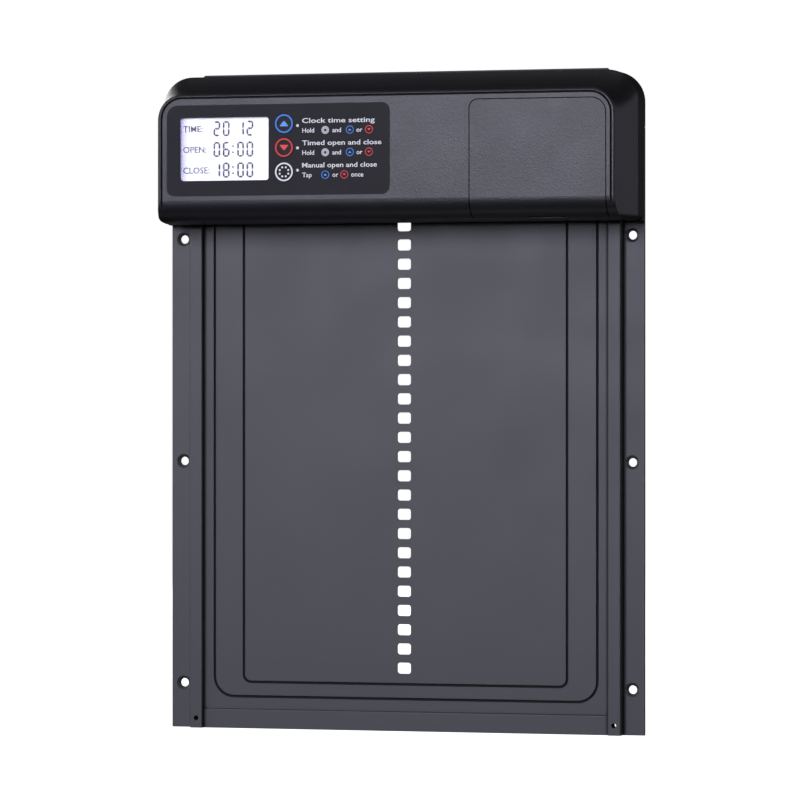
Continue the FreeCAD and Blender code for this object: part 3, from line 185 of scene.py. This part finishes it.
def label_film():
    """Matt polyester label, a shade darker than the case, with a faint rolled texture."""
    film = Finish("label_film", (0.022, 0.022, 0.025), 0.6, Specular_IOR_Level=0.2)
    film.colours(film.noise(0.012), (0.021, 0.021, 0.024), (0.023, 0.023, 0.026))
    film.relief(film.noise(0.0006, detail=3), 0.00002)
    return film.material


def clear_window():
    """Clear display window with a coating against reflections, open to the light that falls through it."""
    pane = Finish("display_glass", (0.97, 0.98, 1.0), 0.03, Transmission_Weight=1.0, IOR=1.12)
    pane.gloss(pane.noise(0.03), 0.0, 0.015)
    pane.relief(pane.noise(0.01), 0.000005)
    clear = pane.node("BsdfTransparent")
    is_shadow = pane.node("LightPath").outputs["Is Shadow Ray"]
    either = pane.node("MixShader", Fac=is_shadow)
    pane.tree.links.new(pane.shader.outputs[0], either.inputs[1])
    pane.tree.links.new(clear.outputs[0], either.inputs[2])
    pane.tree.links.new(either.outputs[0], pane.tree.nodes["Material Output"].inputs["Surface"])
    return pane.material


def display_panel():
    """Lit display face: near white, turning a little lavender towards its left edge."""
    values = {"Emission_Color": (0.98, 0.98, 1.0, 1), "Emission_Strength": 0.1}
    panel = Finish("display_panel", (0.80, 0.80, 0.84), 0.5, **values)
    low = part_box("display_module")[0]
    inward = panel.along("X", low.x + 2 * MM, low.x + 6 * MM)
    panel.colours(inward, (0.55, 0.53, 0.80), (0.80, 0.80, 0.82))
    panel.relief(panel.noise(0.0004), 0.000004)
    return panel.material


def plain_plastic(name, dark, light, roughness, shine=0.5):
    """Moulded plastic with a fine even grain."""
    part = Finish(name, light, roughness, Specular_IOR_Level=shine)
    part.colours(part.noise(0.0072), dark, light)
    part.gloss(part.noise(0.01), roughness - 0.05, roughness + 0.05)
    part.relief(part.noise(0.0006, detail=3), 0.00003)
    return part.material


def board_laminate():
    """Green circuit board with tracks showing faintly under the lacquer."""
    board = Finish("board_laminate", (0.012, 0.105, 0.045), 0.3, Coat_Weight=0.4)
    tracks = board.node("TexBrick", Vector=board.place, Scale=420.0, Mortar_Size=0.06)
    board.colours(tracks.outputs["Fac"], (0.010, 0.090, 0.038), (0.030, 0.180, 0.070))
    board.relief(tracks.outputs["Fac"], 0.00003)
    return board.material


def metal(name, dark, light, roughness, stretch=(1, 1, 1)):
    """Metal with fine drawn or turned lines along the short axis of stretch."""
    part = Finish(name, light, roughness, Metallic=1.0)
    lines = part.noise(0.002, detail=4, place=part.stretched(*stretch))
    part.colours(lines, dark, light)
    part.gloss(lines, roughness - 0.08, roughness + 0.08)
    part.relief(lines, 0.00001)
    return part.material


def lead_insulation():
    """Dark red PVC on the motor and battery leads, slightly dusty."""
    lead = Finish("lead_insulation", (0.30, 0.02, 0.015), 0.45)
    lead.colours(lead.noise(0.004), (0.24, 0.015, 0.012), (0.34, 0.03, 0.02))
    lead.relief(lead.noise(0.0008), 0.00002)
    return lead.material


def cell_jacket():
    """Shrink jacket on the cells: a copper top band above a dark body."""
    jacket = Finish("cell_jacket", (0.03, 0.03, 0.03), 0.28, Coat_Weight=0.5)
    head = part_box("battery_cells")[1].z
    band = jacket.along("Z", head - 14.5 * MM, head - 14 * MM)
    jacket.colours(band, (0.025, 0.025, 0.028), (0.55, 0.25, 0.09))
    jacket.relief(jacket.noise(0.003), 0.00002)
    return jacket.material


def foam():
    """Open-cell foam: round pores in a soft dark grey."""
    sponge = Finish("foam", (0.06, 0.06, 0.06), 0.95)
    pores = sponge.cells(0.0009)
    sponge.colours(pores, (0.02, 0.02, 0.02), (0.09, 0.09, 0.09))
    sponge.relief(pores, 0.0004)
    return sponge.material


def printed_ink(name, colour, painted_glow=0.0):
    """Screen-printed ink: slightly uneven cover, with a painted glow (emission) that brightens it though
    no lamp lies behind it.
    """
    values = {"Emission_Color": (*colour, 1), "Emission_Strength": painted_glow}
    ink = Finish(name, colour, 0.5, **values)
    worn = tuple(0.88 * part for part in colour)
    ink.colours(ink.noise(0.0008, detail=3), worn, colour)
    ink.relief(ink.noise(0.0003), 0.000004)
    return ink.material


KEY_DARK, KEY_LIGHT = (0.014, 0.012, 0.012), (0.020, 0.018, 0.018)
FINISHES = {
    "coated_aluminium": coated_aluminium(),
    "case_plastic": case_plastic(),
    "label_film": label_film(),
    "display_glass": clear_window(),
    "display_panel": display_panel(),
    "key_plastic": plain_plastic("key_plastic", KEY_DARK, KEY_LIGHT, 0.45, shine=0.15),
    "inner_plastic": plain_plastic("inner_plastic", (0.018, 0.018, 0.020), (0.030, 0.030, 0.032), 0.5),
    "gear_plastic": plain_plastic("gear_plastic", (0.62, 0.60, 0.54), (0.74, 0.72, 0.66), 0.4),
    "board_laminate": board_laminate(),
    "steel": metal("steel", (0.42, 0.42, 0.43), (0.58, 0.58, 0.59), 0.3, stretch=(0.05, 1, 1)),
    "zinc_screw": metal("zinc_screw", (0.55, 0.55, 0.57), (0.72, 0.72, 0.74), 0.32),
    "contact_metal": metal("contact_metal", (0.60, 0.58, 0.54), (0.75, 0.72, 0.68), 0.22),
    "brass": metal("brass", (0.55, 0.38, 0.14), (0.72, 0.52, 0.22), 0.26, stretch=(1, 1, 0.1)),
    "plate_metal": metal("plate_metal", (0.38, 0.39, 0.40), (0.52, 0.53, 0.54), 0.4, stretch=(0.04, 1, 1)),
    "lead_insulation": lead_insulation(),
    "cell_jacket": cell_jacket(),
    "foam": foam(),
}
# the label and key inks carry a painted glow: they emit light though nothing lights them from behind
INKS = {
    "white": printed_ink("ink_white", (0.86, 0.86, 0.88), painted_glow=0.1),
    "grey": printed_ink("ink_grey", (0.55, 0.55, 0.57), painted_glow=0.05),
    "blue": printed_ink("ink_blue", (0.022, 0.20, 0.70), painted_glow=0.2),
    "sky": printed_ink("ink_sky", (0.10, 0.32, 0.85), painted_glow=0.25),
    "red": printed_ink("ink_red", (0.66, 0.010, 0.013), painted_glow=0.15),
    "coral": printed_ink("ink_coral", (0.85, 0.035, 0.04), painted_glow=0.2),
    "figure": printed_ink("display_figure", (0.02, 0.02, 0.03)),
    "word": printed_ink("display_word", (0.03, 0.03, 0.04)),
}


def finish_cad_nodes():
    """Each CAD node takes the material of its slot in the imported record."""
    for part in frame["record"]["subparts"]:
        shape = frame["nodes"][part["node"]]
        if not shape.material_slots:
            shape.data.materials.append(None)
        for place in shape.material_slots:
            place.material = FINISHES[part["material_slot"]]


# ---------------------------------------------------------------- flat prints

def add_prism(form, outline, front, back):
    """Adds a plate with this outline of (x, z) points, between two depths along y."""
    loops = [[form.verts.new((x, y, z)) for x, z in outline] for y in (front, back)]
    form.faces.new(loops[0])
    form.faces.new(reversed(loops[1]))
    for index in range(len(outline)):
        after = (index + 1) % len(outline)
        form.faces.new((loops[0][after], loops[0][index], loops[1][index], loops[1][after]))


def disc_outline(centre, radius, steps):
    """A round outline."""
    turn = [2 * math.pi * step / steps for step in range(steps)]
    return [(centre[0] + radius * math.cos(a), centre[1] + radius * math.sin(a)) for a in turn]


def corners_round(form, centre, radius, y, steps):
    """New corners evenly round a circle at depth y."""
    return [form.verts.new((x, y, z)) for x, z in disc_outline(centre, radius, steps)]


def add_ring(form, centre, outer, inner, front, back, steps):
    """Adds a flat ring round centre, between two depths along y."""
    rows = [corners_round(form, centre, radius, y, steps)
            for y, radius in ((front, outer), (front, inner), (back, inner), (back, outer))]
    for near, far in zip(rows, rows[1:] + rows[:1]):
        for step in range(steps):
            after = (step + 1) % steps
            form.faces.new((near[step], near[after], far[after], far[step]))


def arrow_outline(centre, width, height, way):
    """A triangle with softened corners that points up (way 1) or down (way -1)."""
    x, z = centre
    soft = 0.12 * height
    side, top, foot = width / 2, height / 2, -height / 2
    points = [(-side + soft, foot), (side - soft, foot), (side - 0.3 * soft, foot + soft),
              (soft, top - 0.4 * soft), (-soft, top - 0.4 * soft), (-side + 0.3 * soft, foot + soft)]
    return [(x + across, z + way * up) for across, up in points]


def piece_of(name, form, material, body):
    """Turns a finished form into a piece that rides on a body."""
    bmesh.ops.recalc_face_normals(form, faces=form.faces)
    mesh = bpy.data.meshes.new(name)
    form.to_mesh(mesh)
    form.free()
    mesh.materials.append(material)
    piece = bpy.data.objects.new(name, mesh)
    bpy.context.scene.collection.objects.link(piece)
    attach(piece, body)
    return piece


def words_mesh(text):
    """The built-in letters of text as a mesh one unit thick, standing on the x axis."""
    curve = bpy.data.curves.new("words", "FONT")
    curve.body = text
    curve.extrude = 0.5
    curve.offset = 0.014
    curve.resolution_u = 3
    holder = bpy.data.objects.new("words", curve)
    bpy.context.scene.collection.objects.link(holder)
    view = bpy.context.evaluated_depsgraph_get()
    mesh = bpy.data.meshes.new_from_object(holder.evaluated_get(view))
    bpy.data.objects.remove(holder)
    return mesh


CAPITAL_HEIGHT = max(corner.co.y for corner in words_mesh("H").vertices)     # in the letters' own units


def add_words(form, text, left, middle, capital, front, back, width=None):
    """Adds text that starts at x = left, centred on z = middle, squeezed or spread to width if given."""
    mesh = words_mesh(text)
    start = min(corner.co.x for corner in mesh.vertices)
    end = max(corner.co.x for corner in mesh.vertices)
    tall = capital / CAPITAL_HEIGHT
    wide = width / (end - start) if width else tall
    for corner in mesh.vertices:
        x, y, z = corner.co
        depth = front if z > 0 else back
        corner.co = (left + (x - start) * wide, depth, middle - capital / 2 + y * tall)
    form.from_mesh(mesh)
    bpy.data.meshes.remove(mesh)


# ---------------------------------------------------------------- display

# The seven bars of a figure, as (centre across, centre up, lies flat), in halves of its size.
BARS = {"a": (0, 1, True), "b": (1, 0.5, False), "c": (1, -0.5, False), "d": (0, -1, True),
        "e": (-1, -0.5, False), "f": (-1, 0.5, False), "g": (0, 0, True)}
FIGURES = {"0": "abcdef", "1": "bc", "2": "abged", "6": "afgedc", "8": "abcdefg"}


def add_figure(form, figure, left, middle, front, back):
    """Adds one seven-bar figure as separate mitred bars."""
    width, height, thick, gap = 3.5 * MM, 7.4 * MM, 0.92 * MM, 0.1 * MM
    reach_x, reach_z = (width - thick) / 2, (height - thick) / 2
    for bar in FIGURES[figure]:
        across, up, flat = BARS[bar]
        x = left + width / 2 + across * reach_x
        z = middle + up * reach_z
        half = (reach_x if flat else reach_z / 2) - gap
        side = thick / 2
        tip = half - side
        outline = [(-half, 0), (-tip, -side), (tip, -side), (half, 0), (tip, side), (-tip, side)]
        if not flat:
            outline = [(-b, a) for a, b in outline]
        add_prism(form, [(x + a, z + b) for a, b in outline], front, back)


def display_rows():
    """Three rows on the display: a word and a time each."""
    low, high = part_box("display_window")
    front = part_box("display_module")[0].y
    face, back = front - 0.08 * MM, front + 0.02 * MM
    middle = (low.z + high.z) / 2 - 0.1 * MM
    row_pitch, figure_pitch, colon_gap, capital = 10.1 * MM, 4.75 * MM, 2.6 * MM, 3.0 * MM
    word_left, figure_left = low.x + 0.6 * MM, low.x + 16.1 * MM
    colon_middle, colon_reach, dot_radius = figure_left + 10 * MM, 1.5 * MM, 0.5 * MM
    figures, words = bmesh.new(), bmesh.new()
    rows = (("TIME:", "20", "12", False), ("OPEN:", "06", "00", True), ("CLOSE:", "18", "00", True))
    for row, (word, hours, minutes, colon) in enumerate(rows):
        level = middle + (1 - row) * row_pitch
        add_words(words, word, word_left, level, capital, face, back)
        for place, figure in enumerate(hours + minutes):
            left = figure_left + place * figure_pitch + (colon_gap if place > 1 else 0)
            add_figure(figures, figure, left, level, face, back)
        if colon:
            for side in (-1, 1):
                dot = disc_outline((colon_middle, level + side * colon_reach), dot_radius, steps=12)
                add_prism(figures, dot, face, back)
    piece_of("display_figures", figures, INKS["figure"], "frame")
    piece_of("display_words", words, INKS["word"], "frame")


# ---------------------------------------------------------------- label

def add_sign(forms, kind, centre, front, back):
    """Adds one small printed sign: a ringed arrow up or down, or the set sign."""
    if kind == "set":
        add_ring(forms["grey"], centre, 1.95 * MM, 0.62 * MM, front, back, steps=32)
        return
    ring, arrow, way = {"up": ("blue", "sky", 1), "down": ("red", "coral", -1)}[kind]
    add_ring(forms[ring], centre, 2.0 * MM, 1.6 * MM, front, back, steps=32)
    add_prism(forms[arrow], arrow_outline(centre, 1.6 * MM, 0.95 * MM, way), front, back)


def label_prints():
    """Three blocks on the label beside the keys: a bullet, a heading, and a line of words and signs."""
    low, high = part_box("front_label")
    front, back = low.y - 0.04 * MM, low.y + 0.01 * MM
    left = high.x - 44.1 * MM
    middle = (low.z + high.z) / 2 + 3.1 * MM
    row_pitch, line_drop, bullet_drop, bullet_gap = 10.8 * MM, 4.75 * MM, 2.4 * MM, 2.3 * MM
    heading_capital, line_capital = 2.3 * MM, 2.2 * MM
    hold_line = (("Hold", 0.1), ("set", 11.7), ("and", 15.3), ("up", 24.1), ("or", 27.4), ("down", 33.7))
    tap_line = (("Tap", 0.1), ("up", 11.7), ("or", 15.3), ("down", 21.3), ("once", 24.8))
    forms = {ink: bmesh.new() for ink in ("white", "grey", "blue", "sky", "red", "coral")}
    blocks = (
        ("Clock time setting", 36.6, hold_line),
        ("Timed open and close", 40.0, hold_line),
        ("Manual open and close", 37.7, tap_line),
    )
    for number, (heading, width, line) in enumerate(blocks):
        level = middle + (1 - number) * row_pitch
        bullet = disc_outline((left - bullet_gap, level - bullet_drop), 0.7 * MM, steps=16)
        add_prism(forms["white"], bullet, front, back)
        add_words(forms["white"], heading, left, level, heading_capital, front, back, width=width * MM)
        for item, offset in line:
            centre = (left + offset * MM, level - line_drop)
            if item in ("set", "up", "down"):
                add_sign(forms, item, centre, front, back)
            else:
                add_words(forms["white"], item, *centre, line_capital, front, back)
    for ink, form in forms.items():
        piece_of("label_print_" + ink, form, INKS[ink], "frame")


# ---------------------------------------------------------------- keys

def lathe(form, centre, profile):
    """Turns a profile of (radius, y) points about the line along y through centre."""
    steps = 64
    rows = [corners_round(form, centre, radius, y, steps if radius else 1) for radius, y in profile]
    for near, far in zip(rows, rows[1:]):
        for step in range(steps):
            after = (step + 1) % steps
            corners = [near[step % len(near)], near[after % len(near)]]
            corners += [far[after % len(far)], far[step % len(far)]]
            form.faces.new(list(dict.fromkeys(corners)))


def key(node, body, sign):
    """A key cap with a dished middle, a coloured ring let into its face and a raised sign."""
    low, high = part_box(node)
    centre = ((low.x + high.x) / 2, (low.z + high.z) / 2)
    radius = (high.x - low.x) / 2
    cap_radius, ring_outer, ring_inner, dish_radius = 4.75 * MM, 4.55 * MM, 3.75 * MM, 3.25 * MM
    face = low.y + 0.05 * MM
    dish = face + 0.12 * MM
    edge = 0.25 * MM
    profile = [(0, dish), (dish_radius, dish), (dish_radius + edge, face), (cap_radius - edge, face)]
    profile += [(cap_radius - edge + edge * math.sin(a), face + edge - edge * math.cos(a))
                for a in (math.pi / 8, math.pi / 4, 3 * math.pi / 8, math.pi / 2)]
    flange = high.y - 0.8 * MM
    if radius > cap_radius + 0.1 * MM:
        profile += [(cap_radius, flange), (radius, flange), (radius, high.y), (0, high.y)]
    else:
        profile += [(cap_radius, high.y), (0, high.y)]
    cap = bmesh.new()
    lathe(cap, centre, profile)
    cap_piece = piece_of(body + "_cap", cap, FINISHES["key_plastic"], body)
    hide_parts(node)
    ring_ink, sign_ink = {"up": ("blue", "sky"), "down": ("red", "coral"), "set": ("white", "white")}[sign]
    ring = bmesh.new()
    add_ring(ring, centre, ring_outer, ring_inner, low.y, face + 0.02 * MM, steps=96)
    piece_of(body + "_ring", ring, INKS[ring_ink], body)
    mark = bmesh.new()
    lift, root = dish - 0.1 * MM, dish + 0.02 * MM
    if sign == "set":
        dots, reach = 8, 2.35 * MM
        for number in range(dots):
            turn = 2 * math.pi * (number + 0.5) / dots
            dot = (centre[0] + reach * math.cos(turn), centre[1] + reach * math.sin(turn))
            add_prism(mark, disc_outline(dot, 0.5 * MM, steps=20), lift, root)
    else:
        way = 1 if sign == "up" else -1
        add_prism(mark, arrow_outline(centre, 4.4 * MM, 2.6 * MM, way), lift, root)
    piece_of(body + "_sign", mark, INKS[sign_ink], body)


# ---------------------------------------------------------------- foam pad

def foam_pad():
    """The foam strip inside the lid, with softly pressed edges."""
    low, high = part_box("lid_pad")
    middle, size = (low + high) / 2, high - low
    form = bmesh.new()
    bmesh.ops.create_cube(form, size=1.0)
    bmesh.ops.bevel(form, geom=form.edges[:], offset=0.12, segments=3, profile=0.6, affect="EDGES")
    placed = Matrix.Translation(middle) @ Matrix.Diagonal((*size, 1))
    bmesh.ops.transform(form, matrix=placed, verts=form.verts)
    pad = piece_of("lid_foam", form, FINISHES["foam"], "lid")
    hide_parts("lid_pad")


# ---------------------------------------------------------------- studio

COOL_WHITE = (0.93, 0.93, 1.12)


def aim(piece, target):
    """Turns a camera or light at target, upright."""
    piece.rotation_euler = (target - piece.location).to_track_quat("-Z", "Y").to_euler()


def round_centre(azimuth, elevation, distance, target=CENTRE):
    """The point at that compass angle, height angle and distance from target; the front is azimuth 0."""
    turn, rise = math.radians(azimuth), math.radians(elevation)
    way = Vector((math.sin(turn) * math.cos(rise), -math.cos(turn) * math.cos(rise), math.sin(rise)))
    return target + distance * way


def softbox(name, azimuth, elevation, distance, size, power, colour=(1, 1, 1)):
    """A large soft light aimed at the object, which the camera doesn't see."""
    lamp = bpy.data.lights.new(name, "AREA")
    lamp.shape = "RECTANGLE"
    lamp.size, lamp.size_y = size
    lamp.energy = power
    lamp.color = colour
    holder = bpy.data.objects.new(name, lamp)
    holder.location = round_centre(azimuth, elevation, distance)
    aim(holder, CENTRE)
    holder.visible_camera = False
    bpy.context.scene.collection.objects.link(holder)


def studio_surface(name, form):
    """A plain pale surface that the camera sees and that doesn't light the object."""
    mesh = bpy.data.meshes.new(name)
    form.to_mesh(mesh)
    form.free()
    paper = bpy.data.materials.new(name)
    paper.use_nodes = True
    shader = paper.node_tree.nodes["Principled BSDF"]
    shader.inputs["Base Color"].default_value = (0.8, 0.8, 0.8, 1)
    shader.inputs["Roughness"].default_value = 1.0
    shader.inputs["Specular IOR Level"].default_value = 0.0
    shader.inputs["Emission Color"].default_value = (1, 1, 1, 1)
    shader.inputs["Emission Strength"].default_value = 1.0
    mesh.materials.append(paper)
    surface = bpy.data.objects.new(name, mesh)
    surface.visible_diffuse = False
    surface.visible_glossy = False
    surface.visible_transmission = False
    surface.visible_shadow = False
    bpy.context.scene.collection.objects.link(surface)


def studio():
    """Camera, soft lights, pale floor and white backdrop."""
    scene = bpy.context.scene
    lens = bpy.data.cameras.new("camera")
    lens.sensor_width = 36.0
    lens.lens = 210.6
    lens.shift_x = -0.0063
    lens.shift_y = 0.0019
    lens.clip_end = 50.0
    camera = bpy.data.objects.new("camera", lens)
    rail_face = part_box("left_rail")[0].y + 5 * MM
    target = Vector((CENTRE.x, rail_face, CENTRE.z))
    camera.location = round_centre(azimuth=15.5, elevation=0, distance=2.294, target=target)
    aim(camera, target)
    scene.collection.objects.link(camera)
    scene.camera = camera

    # each light: azimuth and elevation in degrees, distance and size in metres, power in watts
    softbox("key_light", -9, 16, 1.6, (1.0, 0.64), 16.6, colour=COOL_WHITE)
    softbox("left_light", -62, 28, 1.3, (0.35, 0.9), 2.5)
    softbox("right_light", 126, 4, 1.5, (0.7, 0.9), 1.2, colour=COOL_WHITE)
    softbox("right_side_light", 84, 12, 1.5, (0.6, 0.9), 2.5)
    softbox("left_side_light", -100, 8, 1.5, (0.6, 0.9), 5)
    softbox("back_light", 222, 5, 1.8, (0.9, 1.2), 14)
    softbox("top_light", 0, 92, 1.5, (1.2, 0.35), 1.6)
    softbox("low_light", 0, -82, 1.5, (1.2, 0.3), 0.7)

    world = bpy.data.worlds.new("studio")
    world.use_nodes = True
    sky = world.node_tree.nodes["Background"]
    sky.inputs["Color"].default_value = (1, 1, 1, 1)
    sky.inputs["Strength"].default_value = 0.01
    scene.world = world
    scene.view_settings.view_transform = "Standard"

    floor = bmesh.new()
    ground = Matrix.Translation((CENTRE.x, CENTRE.y, cad_low.z - 0.1 * MM))
    bmesh.ops.create_circle(floor, cap_ends=True, segments=128, radius=7.0, matrix=ground)
    studio_surface("floor", floor)
    dome = bmesh.new()
    bmesh.ops.create_icosphere(dome, subdivisions=5, radius=8.0, matrix=Matrix.Translation(CENTRE))
    bmesh.ops.reverse_faces(dome, faces=dome.faces)
    studio_surface("backdrop", dome)


finish_cad_nodes()
display_rows()
label_prints()
key("button_up", "up_key", "up")
key("button_down", "down_key", "down")
key("button_set", "set_key", "set")
foam_pad()
studio()
